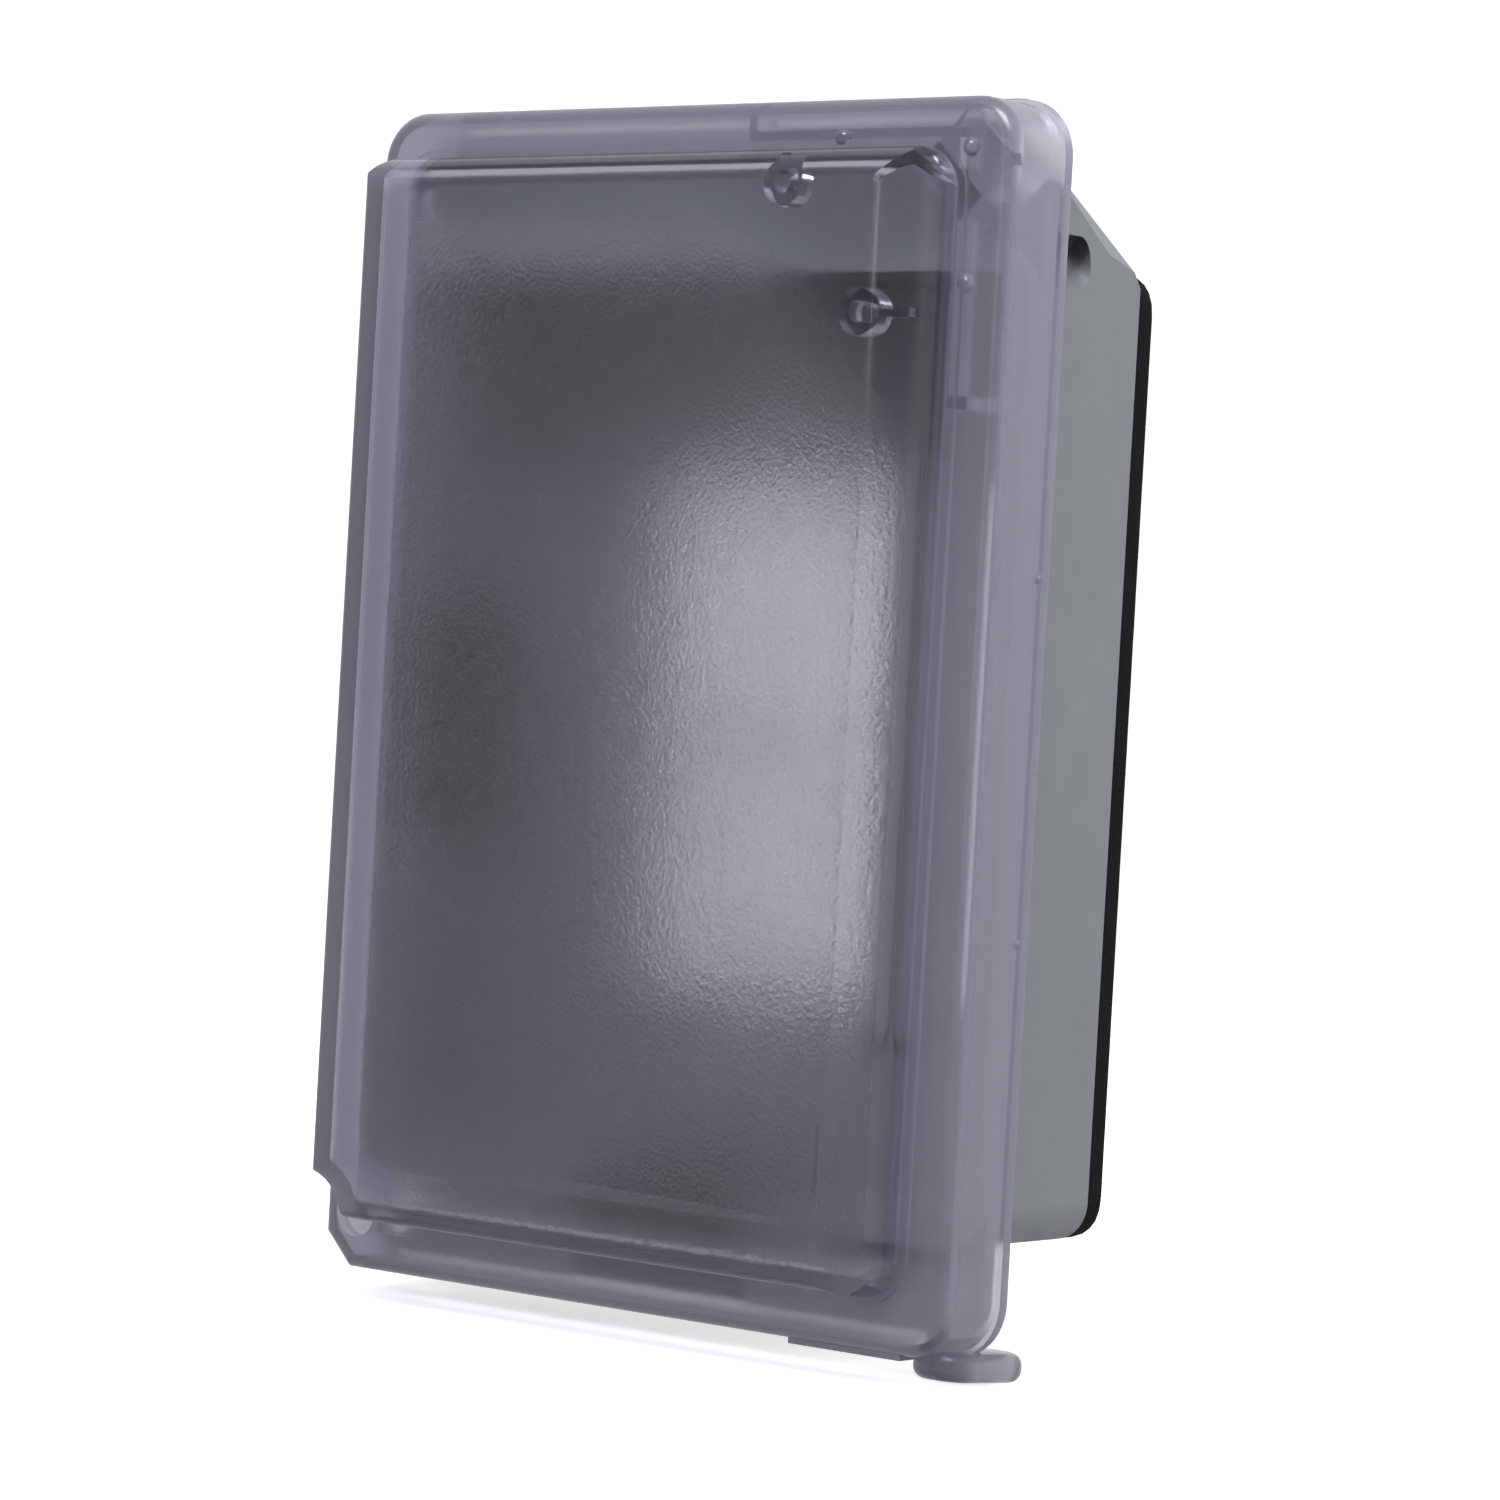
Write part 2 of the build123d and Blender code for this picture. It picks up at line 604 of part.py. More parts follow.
# ---------------------------------------------------------------- contacts and terminals
def blade_contact(side):
    """Brass strip with a grip for each outlet and a tab to each terminal screw."""
    x = side * BLADE_X
    strip_in = side * 11.6
    strip_out = side * 12.8
    x0 = min(strip_in, strip_out)
    x1 = max(strip_in, strip_out)
    strip = block(x0, x1, -19.0, 29.0, -6.4, -1.2)
    for z in OUTLET_SLOTS_Z:
        for offset in (-1.75, 1.15):
            strip += block(x + offset, x + offset + 0.6, z - 3.0, z + 3.0, -6.4, 2.2)
        strip += block(min(x - 1.75, x0), max(x + 1.75, x1), z - 3.0, z + 3.0, -6.4, -5.6)
    for z in TERMINAL_Z:
        tab_out = side * 16.8
        strip += block(min(strip_in, tab_out), max(strip_in, tab_out), z - 2.9, z + 2.9, -10.4, -9.6)
        strip += block(x0, x1, z - 2.9, z + 2.9, -10.4, -6.0)
    return strip


def hot_contact():
    return blade_contact(1)


def neutral_contact():
    return blade_contact(-1)


def ground_contact():
    strip = block(-1.6, 1.6, -29.0, -20.5, -2.8, -2.0)
    for z in OUTLET_SLOTS_Z:
        for offset in (-2.6, 1.8):
            grip = z - GROUND_DROP
            strip += block(offset, offset + 0.8, grip - 2.2, grip + 2.2, -2.8, 2.4)
    strip += block(-2.6, 2.6, -30.2, 15.0, -3.4, -2.6) - block(-4, 4, -8.0, 8.0, -4, -2)
    strip += block(-6.4, -3.6, -9.4, 9.4, -3.4, -2.6)
    for z in (-9.4, 8.0):
        strip += block(-6.4, 2.6, z, z + 1.4, -3.4, -2.6)
    return strip


def clamp_plates():
    plates = Part()
    for side in (-1, 1):
        for z in TERMINAL_Z:
            x0 = min(side * 17.5, side * 18.5)
            x1 = max(side * 17.5, side * 18.5)
            plate = block(x0, x1, z - 4.6, z + 4.6, -15.0, -5.0)
            plates += plate - cross_rod(min(x0, x1) - 1, max(x0, x1) + 1, -10, z, 1.9)
    return plates


def terminal_screw(side, z):
    inner = side * 16.9
    seat = side * 18.5
    outer = side * 20.6
    shank = cross_rod(min(inner, seat), max(inner, seat), -10, z, 1.75)
    head = cross_rod(min(seat, outer), max(seat, outer), -10, z, 3.8)
    x0 = min(outer - side * 0.9, outer + side)
    x1 = max(outer - side * 0.9, outer + side)
    return shank + head - block(x0, x1, z - 4, z + 4, -10.5, -9.5)


def hot_terminal_screws():
    return Part() + [terminal_screw(1, z) for z in TERMINAL_Z]


def neutral_terminal_screws():
    return Part() + [terminal_screw(-1, z) for z in TERMINAL_Z]


def ground_screw():
    z = GROUND_SCREW_Z
    shank = cross_rod(-17.8, -16.7, -10, z, 1.75)
    head = cross_rod(-20.4, -17.8, -10, z, 3.0)
    return shank + head - block(-21, -19.6, z - 4, z + 4, -10.5, -9.5)


# ---------------------------------------------------------------- ground-fault works
def circuit_board():
    board = block(-14.6, 14.6, -31.4, 31.4, -22.4, -20.8)
    for x, z in ((-12.0, 28.6), (12.0, 28.6), (-12.0, -28.6), (12.0, -28.6)):
        board -= rod(x, z, 1.2, -24, -19)
    return board


def board_parts():
    """Resistors, capacitors and the control chip on the board."""
    top = -20.8
    parts = block(-3.4, 3.4, 22.6, 27.4, top, top + 1.7)
    for x, z in ((-9.5, 24.0), (9.5, 24.0)):
        parts += rod(x, z, 2.4, top, top + 5.0)
    for k in range(4):
        parts += block(-13.6, -11.6, -28.0 + 4.2 * k, -26.0 + 4.2 * k, top, top + 1.0)
    parts += rod(9.0, 17.4, 3.4, top, top + 2.4)
    return parts


def sensing_coil():
    """Two stacked ring cores that the line and neutral conductors pass through."""
    plane = Plane(origin=(0, 20.6, 12.2), z_dir=(0, -1, 0))
    coils = Part()
    for k in range(2):
        ring = plane.offset(2.1 + 4.3 * k) * Torus(4.6, 2.0)
        coils += ring
    return coils


def solenoid_bobbin():
    centre_z = -17.5
    spool = upright_rod(0, -16.2, centre_z - 7.0, centre_z + 7.0, 2.6)
    for z in (centre_z - 7.0, centre_z + 6.0):
        spool += block(-5.6, 5.6, z, z + 1.0, -20.7, -12.0)
    return spool - upright_rod(0, -16.2, centre_z - 9, centre_z + 9, 1.9)


def solenoid_winding():
    centre_z = -17.5
    coil = upright_rod(0, -16.2, centre_z - 5.9, centre_z + 5.9, 4.2)
    return coil - upright_rod(0, -16.2, centre_z - 9, centre_z + 9, 2.65)


def solenoid_plunger():
    plunger = upright_rod(0, -16.2, -22.0, -8.2, 1.8)
    return plunger + upright_rod(0, -16.2, -8.2, -7.2, 2.4)


def trip_latch():
    """Flat steel latch pushed by the plunger to release the reset pin."""
    plate = block(-3.0, 3.0, -7.1, 1.2, -16.9, -15.5)
    return plate + block(-3.0, 3.0, 0.2, 1.2, -15.5, -11.6)


NODES = {
    "wall_gasket": wall_gasket,
    "cover_base": cover_base,
    "left_cord_seal": left_cord_seal,
    "bottom_cord_seal": bottom_cord_seal,
    "insert_plate": insert_plate,
    "box_screws": box_screws,
    "lid": lid,
    "hinge_pin": hinge_pin,
    "mounting_strap": mounting_strap,
    "face_housing": face_housing,
    "body_housing": body_housing,
    "housing_screws": housing_screws,
    "test_button": test_button,
    "test_spring": test_spring,
    "reset_button": reset_button,
    "reset_pin": reset_pin,
    "reset_spring": reset_spring,
    "contact_carrier": contact_carrier,
    "moving_contacts": moving_contacts,
    "upper_shutter": upper_shutter,
    "lower_shutter": lower_shutter,
    "contact_divider": contact_divider,
    "works_frame": works_frame,
    "indicator_lens": indicator_lens,
    "hot_contact": hot_contact,
    "neutral_contact": neutral_contact,
    "ground_contact": ground_contact,
    "clamp_plates": clamp_plates,
    "hot_terminal_screws": hot_terminal_screws,
    "neutral_terminal_screws": neutral_terminal_screws,
    "ground_screw": ground_screw,
    "circuit_board": circuit_board,
    "board_parts": board_parts,
    "sensing_coil": sensing_coil,
    "solenoid_bobbin": solenoid_bobbin,
    "solenoid_winding": solenoid_winding,
    "solenoid_plunger": solenoid_plunger,
    "trip_latch": trip_latch,
}

os.makedirs("parts", exist_ok=True)
for name, make in NODES.items():
    export_step(make(), f"parts/{name}.step")
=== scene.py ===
import json
import math
import bpy
import bmesh
from mathutils import Matrix, Vector

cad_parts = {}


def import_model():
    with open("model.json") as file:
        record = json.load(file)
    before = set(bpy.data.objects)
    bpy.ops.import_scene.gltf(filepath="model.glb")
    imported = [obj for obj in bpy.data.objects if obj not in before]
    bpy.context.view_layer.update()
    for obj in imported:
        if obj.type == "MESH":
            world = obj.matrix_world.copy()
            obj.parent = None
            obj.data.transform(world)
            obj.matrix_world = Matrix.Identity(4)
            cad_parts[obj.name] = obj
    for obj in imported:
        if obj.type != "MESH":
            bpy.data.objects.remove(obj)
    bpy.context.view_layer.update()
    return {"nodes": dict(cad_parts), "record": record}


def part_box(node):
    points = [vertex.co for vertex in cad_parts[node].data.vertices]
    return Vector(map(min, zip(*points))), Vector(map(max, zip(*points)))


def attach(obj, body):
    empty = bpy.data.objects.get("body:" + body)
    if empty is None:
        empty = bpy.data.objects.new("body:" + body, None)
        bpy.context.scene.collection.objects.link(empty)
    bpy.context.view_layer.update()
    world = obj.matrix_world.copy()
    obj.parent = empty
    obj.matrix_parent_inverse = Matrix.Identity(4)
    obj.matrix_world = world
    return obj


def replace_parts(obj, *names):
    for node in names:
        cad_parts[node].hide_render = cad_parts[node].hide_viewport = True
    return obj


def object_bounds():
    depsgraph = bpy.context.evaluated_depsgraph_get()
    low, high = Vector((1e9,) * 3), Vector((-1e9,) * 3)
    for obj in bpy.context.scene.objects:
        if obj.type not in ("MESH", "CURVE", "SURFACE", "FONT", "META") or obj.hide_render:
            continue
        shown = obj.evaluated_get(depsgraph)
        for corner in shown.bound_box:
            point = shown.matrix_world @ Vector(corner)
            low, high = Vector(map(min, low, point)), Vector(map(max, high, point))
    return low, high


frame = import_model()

MM = 0.001
NODES = frame["nodes"]

# camera, from a perspective fit of the object's edges
CAM_AZIMUTH = math.radians(38.69)
CAM_ELEVATION = math.radians(0.97)
CAM_ROLL = math.radians(3.24)
CAM_DISTANCE = 0.64955
CAM_AIM_RIGHT = -0.00862
CAM_AIM_UP = -0.00214
CAM_LENS_MM = 120.23
CAM_SENSOR_MM = 36

# the room, as a strength from behind the object and one from in front of it
WORLD_MATT = (0.28, 0.19)     # light on matt surfaces
WORLD_SEEN = (0.95, 0.20)     # what reflections and the clear lid show
CEILING = 0.45                # how much of WORLD_SEEN is left overhead
MATT_TURN = (-0.5, 0.6)       # where one strength gives way to the other, behind to in front
SEEN_TURN = (-0.3, 0.5)
CEILING_RISE = (0.1, 0.6)

# the floor
FLOOR_GLOW = 0.55             # its own light, as the camera sees it
FLOOR_GREY = 0.14             # its strength on matt surfaces
FLOOR_SEEN = 0.85             # its strength in reflections and through the lid

# where the lid's finish changes, in metres: each pair is the start and end of a fade
FROST_LEFT = (-0.0384, -0.0356)
FROST_RIGHT = (0.0405, 0.0442)
FROST_BOTTOM = (-0.0645, -0.0620)
FROST_TOP = (0.0580, 0.0700)
FROST_HINGE = (0.070, 0.094)       # x + z, towards the hinge corner
FROST_DEPTH = (0.0044, 0.0070)     # depths are measured from the lid's foremost point
FLANGE_DEPTH = (0.0082, 0.0092)
REFLECTION_FADE_LEFT = (-0.0375, -0.0362)     # fades of the painted reflection in the window's left and bottom edges
REFLECTION_FADE_BOTTOM = (-0.0640, -0.0590)
PANEL_LEFT = (-0.0340, -0.0330)    # the part of the panel that dies into the window's front
PANEL_RIGHT = (0.0376, 0.0380)
PANEL_BOTTOM = (-0.0460, -0.0440)
PANEL_TOP = (0.0664, 0.0668)
PANEL_DEPTH = (0.0014, 0.0016)

# the lid's plastic
LID_IOR = 1.42
LID_TINT = (0.97, 0.965, 1.0)
LID_ABSORPTION = (137, 139, 122)   # per metre, red green blue
LID_SHADOW = (0.92, 0.92, 0.94)    # light let through to what is behind it
CLEAR_ROUGH = 0.10
FLANGE_ROUGH = 0.25
FROST_ROUGH = 0.37
FROST_UNEVEN = 0.04
ROUGH_SCALE = 400                  # noise scales are in features per metre
RIPPLE_SCALE, RIPPLE_DEPTH = 70, 0.25 * MM     # slow waves in the moulding
GRAIN_SCALE, GRAIN_DEPTH = 1700, 0.16 * MM     # the frosting's texture
HAZE_COLOUR = (0.34, 0.335, 0.415)
HAZE_ROUGH = 0.35
HAZE_FLANGE = 0.20                 # share of haze in the skirt and flange
PAINTED_REFLECTION_LEFT = 0.30                   # painted reflection of the floor, as extra milkiness in the window's left edge
PAINTED_REFLECTION_BOTTOM = 0.16                 # painted reflection of the floor, as extra milkiness in its bottom edge
HAZE_WINDOW = 0.02                 # everywhere else in the window


# ---------------------------------------------------------------- node helpers
class Nodes:
    """A node tree with short calls for the nodes used here."""

    def __init__(self, owner, output):
        owner.use_nodes = True
        self.tree = owner.node_tree
        self.tree.nodes.clear()
        self.out = self.tree.nodes.new(output)

    def feed(self, socket, value):
        """Link an output to a socket, or set the socket to a number, vector or colour."""
        if isinstance(value, bpy.types.NodeSocket):
            self.tree.links.new(value, socket)
        elif socket.type == "RGBA":
            socket.default_value = (*value, 1)
        else:
            socket.default_value = value

    def node(self, kind, inputs=(), **settings):
        """New node with the given settings; inputs maps its sockets to values."""
        made = self.tree.nodes.new(kind)
        for key, value in settings.items():
            setattr(made, key, value)
        for key, value in dict(inputs).items():
            self.feed(made.inputs[key], value)
        return made

    def split(self, vector):
        return self.node("ShaderNodeSeparateXYZ", {0: vector}).outputs

    def math(self, operation, first, second):
        return self.node("ShaderNodeMath", {0: first, 1: second}, operation=operation).outputs[0]

    def times(self, first, second):
        return self.math("MULTIPLY", first, second)

    def remap(self, value, limits, ends):
        """Smooth step between the two ends as the value crosses its limits."""
        made = self.node("ShaderNodeMapRange", {
            "Value": value, "From Min": limits[0], "From Max": limits[1],
            "To Min": ends[0], "To Max": ends[1]}, interpolation_type="SMOOTHSTEP")
        return made.outputs["Result"]

    def rise(self, value, limits):
        return self.remap(value, limits, (0, 1))

    def fall(self, value, limits):
        return self.remap(value, limits, (1, 0))

    def band(self, value, start, end):
        """1 between the start and the end fade of a value, 0 outside them."""
        return self.times(self.rise(value, start), self.fall(value, end))

    def mix(self, kind, factor, first, second):
        """Blend of two values; kind is FLOAT, VECTOR or RGBA."""
        made = self.node("ShaderNodeMix", {"Factor": factor, "A": first, "B": second},
                         data_type=kind)
        return made.outputs["Result"]

    def mix_shader(self, factor, first, second):
        return self.node("ShaderNodeMixShader", {0: factor, 1: first, 2: second}).outputs[0]

    def light_path(self):
        return self.node("ShaderNodeLightPath").outputs

    def scattered(self, path):
        """1 for light that a matt surface has scattered, 0 for what is seen or mirrored."""
        return self.math("MINIMUM", path["Diffuse Depth"], 1.0)


class Shader(Nodes):
    """A material's nodes; positions are in metres from the object's origin."""

    def __init__(self, name):
        self.material = bpy.data.materials.new(name)
        super().__init__(self.material, "ShaderNodeOutputMaterial")
        self.position = self.node("ShaderNodeTexCoord").outputs["Object"]

    def noise(self, scale, detail=3.0, stretch=(1, 1, 1)):
        """Noise whose scale is in features per metre."""
        placed = self.node("ShaderNodeMapping", {"Vector": self.position, "Scale": stretch})
        made = self.node("ShaderNodeTexNoise", {
            "Vector": placed.outputs["Vector"], "Scale": scale, "Detail": detail})
        return made.outputs["Fac"]

    def bump(self, height, distance, strength=1.0, under=None):
        """Normal bent by a height, distance metres deep; under is the normal it starts from."""
        inputs = {"Height": height, "Distance": distance, "Strength": strength}
        if under is not None:
            inputs["Normal"] = under
        return self.node("ShaderNodeBump", inputs).outputs["Normal"]

    def principled(self, **values):
        inputs = {key.replace("_", " "): value for key, value in values.items()}
        return self.node("ShaderNodeBsdfPrincipled", inputs).outputs[0]

    def finish(self, surface):
        self.feed(self.out.inputs["Surface"], surface)
        return self.material


# ---------------------------------------------------------------- materials
NOISE_MIDDLE = (0.3, 0.7)     # most noise values lie between these
DRIFT_SCALE = 60              # plastics: colour drift and gloss, in features per metre
GLOSS_SCALE = 220
GLOSS_SPREAD = 0.15
FOAM_CELLS = 2600             # per metre
FOAM_PIT = (0.05, 0.45)       # from the middle of a pit to its rim, in cells


def shade(colour, factor):
    """Colour made darker or lighter."""
    return tuple(min(1, part * factor) for part in colour)


def plastic(name, colour, rough, grain=1800, depth=0.04 * MM, mottled=0.06, coat=0.0):
    """Moulded plastic: fine grain in the surface, slight colour drift, uneven gloss."""
    s = Shader(name)
    tint = s.mix("RGBA", s.noise(DRIFT_SCALE, 4),
                 shade(colour, 1 - mottled), shade(colour, 1 + mottled))
    gloss = s.remap(s.noise(GLOSS_SCALE, 5), NOISE_MIDDLE,
                    (rough * (1 - GLOSS_SPREAD), min(1, rough * (1 + GLOSS_SPREAD))))
    normal = s.bump(s.noise(grain, 2), depth)
    return s.finish(s.principled(
        Base_Color=tint, Roughness=gloss, Normal=normal, Coat_Weight=coat))


def metal(name, colour, rough, stretch=12, scale=900):
    """Metal with fine drawn or turned streaks."""
    s = Shader(name)
    streak = s.noise(scale, 4, (1, 1, stretch))
    tint = s.mix("RGBA", streak, shade(colour, 0.86), colour)
    gloss = s.remap(streak, NOISE_MIDDLE, (rough * 0.8, rough * 1.25))
    normal = s.bump(streak, 0.01 * MM)
    return s.finish(s.principled(
        Base_Color=tint, Roughness=gloss, Metallic=1.0, Normal=normal))


def foam(name, colour):
    """Closed-cell foam: small pits of mixed size, with painted shade darkening their middles and
    their rims painted lighter.
    """
    s = Shader(name)
    cells = s.node("ShaderNodeTexVoronoi", {"Vector": s.position, "Scale": FOAM_CELLS})
    pit_depth_and_shade = s.rise(cells.outputs["Distance"], FOAM_PIT)
    # painted shade: each pit's middle is darker, its rim lighter
    tint = s.mix("RGBA", pit_depth_and_shade, shade(colour, 0.4), shade(colour, 1.5))
    normal = s.bump(pit_depth_and_shade, 0.12 * MM)
    return s.finish(s.principled(
        Base_Color=tint, Roughness=0.92, Normal=normal, Specular_IOR_Level=0.15))


def behind_front(limits):
    """Limits of a fade that is given as a depth behind the lid's foremost point."""
    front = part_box("lid")[0].y
    return [front + depth for depth in limits]


def window_mask(s, x, y, z):
    """1 on the frosted window, fading out towards its top and its clear hinge corner."""
    mask = s.times(s.band(x, FROST_LEFT, FROST_RIGHT), s.band(z, FROST_BOTTOM, FROST_TOP))
    mask = s.times(mask, s.fall(s.math("ADD", x, z), FROST_HINGE))
    return s.times(mask, s.fall(y, behind_front(FROST_DEPTH)))


def front_normal(s, x, y, z):
    """Surface normal, flattened where the frosted panel dies into the window's front."""
    area = s.times(s.band(x, PANEL_LEFT, PANEL_RIGHT), s.band(z, PANEL_BOTTOM, PANEL_TOP))
    area = s.times(s.fall(y, behind_front(PANEL_DEPTH)), area)
    flat = s.node("ShaderNodeVectorTransform", {0: (0, -1, 0)},
                  vector_type="NORMAL", convert_from="OBJECT", convert_to="WORLD")
    surface = s.node("ShaderNodeNewGeometry").outputs
    side = s.math("SUBTRACT", 1.0, s.times(surface["Backfacing"], 2.0))
    facing = s.node("ShaderNodeVectorMath", {0: flat.outputs[0], "Scale": side},
                    operation="SCALE")
    return s.mix("VECTOR", area, surface["Normal"], facing.outputs[0])


def haze_with_painted_edge_reflection(s, x, z):
    """A little milkiness in the window, and a painted reflection of the floor as more milkiness
    in its left and bottom edges.
    """
    return s.math("MAXIMUM", s.remap(x, REFLECTION_FADE_LEFT, (PAINTED_REFLECTION_LEFT, HAZE_WINDOW)),
                  s.remap(z, REFLECTION_FADE_BOTTOM, (PAINTED_REFLECTION_BOTTOM, HAZE_WINDOW)))


def smoky_lid(name):
    """Smoke-tinted polycarbonate, clear and glossy but for the frosted window."""
    s = Shader(name)
    x, y, z = s.split(s.position)
    frost = window_mask(s, x, y, z)
    flange = s.rise(y, behind_front(FLANGE_DEPTH))

    # the frosting is uneven only where it is full, so that its fade stays smooth
    uneven = s.remap(s.noise(ROUGH_SCALE, 3), NOISE_MIDDLE, (-FROST_UNEVEN, FROST_UNEVEN))
    uneven = s.times(uneven, s.rise(frost, (0.9, 1.0)))
    clear_rough = s.remap(flange, (0, 1), (CLEAR_ROUGH, FLANGE_ROUGH))
    rough = s.mix("FLOAT", frost, clear_rough, s.math("ADD", uneven, FROST_ROUGH))

    ripple = s.bump(s.noise(RIPPLE_SCALE, 2), RIPPLE_DEPTH, 0.4, front_normal(s, x, y, z))
    grain = s.math("SUBTRACT", s.noise(GRAIN_SCALE, 1.0), 0.5)
    grain = s.times(grain, s.times(frost, frost))
    normal = s.bump(grain, GRAIN_DEPTH, under=ripple)

    glass = s.principled(Base_Color=LID_TINT, Roughness=rough, Normal=normal,
                         Transmission_Weight=1.0, IOR=LID_IOR)
    haze = s.principled(Base_Color=HAZE_COLOUR, Roughness=HAZE_ROUGH, Normal=normal)
    # share of haze: real milkiness in the skirt and flange, and painted reflection in the
    # window's left and bottom edges
    milkiness_and_painted_reflection = s.math("MAXIMUM", s.times(flange, HAZE_FLANGE), haze_with_painted_edge_reflection(s, x, z))
    seen = s.mix_shader(milkiness_and_painted_reflection, glass, haze)
    through = s.node("ShaderNodeBsdfTransparent", {"Color": LID_SHADOW}).outputs[0]

    # absorption per metre is density x (1 - colour), so the density is above the strongest
    density = max(LID_ABSORPTION) * 1.25
    smoke = s.node("ShaderNodeVolumeAbsorption", {
        "Color": tuple(1 - part / density for part in LID_ABSORPTION), "Density": density})
    s.feed(s.out.inputs["Volume"], smoke.outputs[0])
    return s.finish(s.mix_shader(s.light_path()["Is Shadow Ray"], seen, through))


FINISHES = {
    "smoky_lid": (smoky_lid, {}),
    "grey_base": (plastic, dict(
        colour=(0.132, 0.144, 0.156), rough=0.48, grain=2600, depth=0.03 * MM, mottled=0.04)),
    "black_foam": (foam, dict(colour=(0.004, 0.004, 0.0045))),
    "black_rubber": (plastic, dict(
        colour=(0.007, 0.007, 0.0075), rough=0.8, grain=1500, depth=0.06 * MM)),
    "grey_insert": (plastic, dict(colour=(0.16, 0.17, 0.18), rough=0.45)),
    "stainless": (metal, dict(colour=(0.66, 0.66, 0.65), rough=0.28)),
    "zinc_steel": (metal, dict(colour=(0.62, 0.62, 0.58), rough=0.38, stretch=3, scale=500)),
    "device_face": (plastic, dict(
        colour=(0.80, 0.80, 0.78), rough=0.3, grain=900, depth=0.01 * MM, mottled=0.03,
        coat=0.15)),
    "device_body": (plastic, dict(colour=(0.035, 0.035, 0.04), rough=0.5)),
    "light_button": (plastic, dict(colour=(0.62, 0.62, 0.60), rough=0.4)),
    "white_nylon": (plastic, dict(colour=(0.72, 0.71, 0.66), rough=0.45)),
    "lens": (plastic, dict(
        colour=(0.10, 0.62, 0.22), rough=0.15, grain=900, depth=0.01 * MM, mottled=0.1,
        coat=0.5)),
    "brass": (metal, dict(colour=(0.80, 0.58, 0.26), rough=0.3, stretch=6)),
    "nickel_screw": (metal, dict(colour=(0.68, 0.68, 0.66), rough=0.3)),
    "brass_screw": (metal, dict(colour=(0.82, 0.62, 0.30), rough=0.3)),
    "green_screw": (plastic, dict(
        colour=(0.02, 0.26, 0.08), rough=0.3, grain=900, depth=0.01 * MM, mottled=0.08,
        coat=0.4)),
    "board": (plastic, dict(
        colour=(0.015, 0.17, 0.06), rough=0.35, grain=700, mottled=0.25, coat=0.3)),
    "components": (plastic, dict(colour=(0.03, 0.03, 0.035), rough=0.35)),
    "copper": (metal, dict(colour=(0.75, 0.34, 0.16), rough=0.32, stretch=30, scale=1600)),
    "spring_steel": (metal, dict(colour=(0.5, 0.5, 0.5), rough=0.3)),
}
MATERIALS = {name: make(name, **finish) for name, (make, finish) in FINISHES.items()}

for row in frame["record"]["subparts"]:
    slots = NODES[row["node"]].data.materials
    slots.clear()
    slots.append(MATERIALS[row["material_slot"]])


# ---------------------------------------------------------------- soft pieces in mesh code
CORNER_SPLITS = 6             # points of an outline along each rounded corner
CREASE = math.radians(38)     # edges sharper than this are shaded sharp


def round_polygon(corners, radius, step=1.0 * MM):
    """Closed outline through the corners, each rounded, with points about one step apart."""
    points = []
    count = len(corners)
    for k in range(count):
        before = Vector(corners[k - 1])
        here = Vector(corners[k])
        after = Vector(corners[(k + 1) % count])
        start = here + (before - here).normalized() * radius
        end = here + (after - here).normalized() * radius
        for j in range(CORNER_SPLITS + 1):
            t = j / CORNER_SPLITS
            points.append(start * (1 - t) ** 2 + here * 2 * t * (1 - t) + end * t ** 2)
        next_start = after + (here - after).normalized() * radius
        splits = max(1, int((next_start - end).length / step))
        for j in range(1, splits):
            points.append(end.lerp(next_start, j / splits))
    return points


def box_corners(left, right, low, high):
    return [(left, low), (right, low), (right, high), (left, high)]


def inset_outline(points, distance):
    """Outline moved inwards along its vertex normals; the outline runs anticlockwise."""
    moved = []
    count = len(points)
    for k in range(count):
        along = (points[(k + 1) % count] - points[k - 1]).normalized()
        moved.append(points[k] + Vector((-along.y, along.x)) * distance)
    return moved


def circle(centre, radius, steps=40):
    """Outline of a circle whose centre is that far along the first axis."""
    turns = [2 * math.pi * k / steps for k in range(steps)]
    return [Vector((centre + radius * math.cos(a), radius * math.sin(a))) for a in turns]


def link_object(name, data):
    obj = bpy.data.objects.new(name, data)
    bpy.context.scene.collection.objects.link(obj)
    return obj


class Sheet:
    """A mesh made of closed loops: each loop is an outline placed in space."""

    def __init__(self, place):
        self.work = bmesh.new()
        self.place = place

    def loop(self, outline, height):
        return [self.work.verts.new(self.place(p.x, p.y, height)) for p in outline]

    def wall(self, loops):
        for first, second in zip(loops, loops[1:]):
            count = len(first)
            for k in range(count):
                m = (k + 1) % count
                self.work.faces.new((first[k], first[m], second[m], second[k]))

    def fill(self, *loops):
        edges = []
        for ring in loops:
            count = len(ring)
            for k in range(count):
                pair = (ring[k], ring[(k + 1) % count])
                edges.append(self.work.edges.get(pair) or self.work.edges.new(pair))
        bmesh.ops.triangle_fill(self.work, edges=edges, use_beauty=True)

    def build(self, name, slot):
        """Finish the mesh as a piece that rides on the housing and has a slot's material."""
        bmesh.ops.recalc_face_normals(self.work, faces=self.work.faces)
        mesh = bpy.data.meshes.new(name)
        self.work.to_mesh(mesh)
        self.work.free()
        mesh.shade_smooth()
        mesh.set_sharp_from_angle(angle=CREASE)
        mesh.materials.append(MATERIALS[slot])
        piece = link_object(name, mesh)
        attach(piece, "housing")
        return piece


GASKET_CORNER = 5.6 * MM
GASKET_UNEVEN = 0.06 * MM     # depth of the waves along the foam's edges
GASKET_WAVES = (900, 700)     # radians per metre, along x and z
OPENING_CORNER = 3 * MM
OPENING_WIDE = (25 * MM, 38 * MM)      # half width and height round the receptacle's body
OPENING_TALL = (13 * MM, 55 * MM)      # the same round its strap
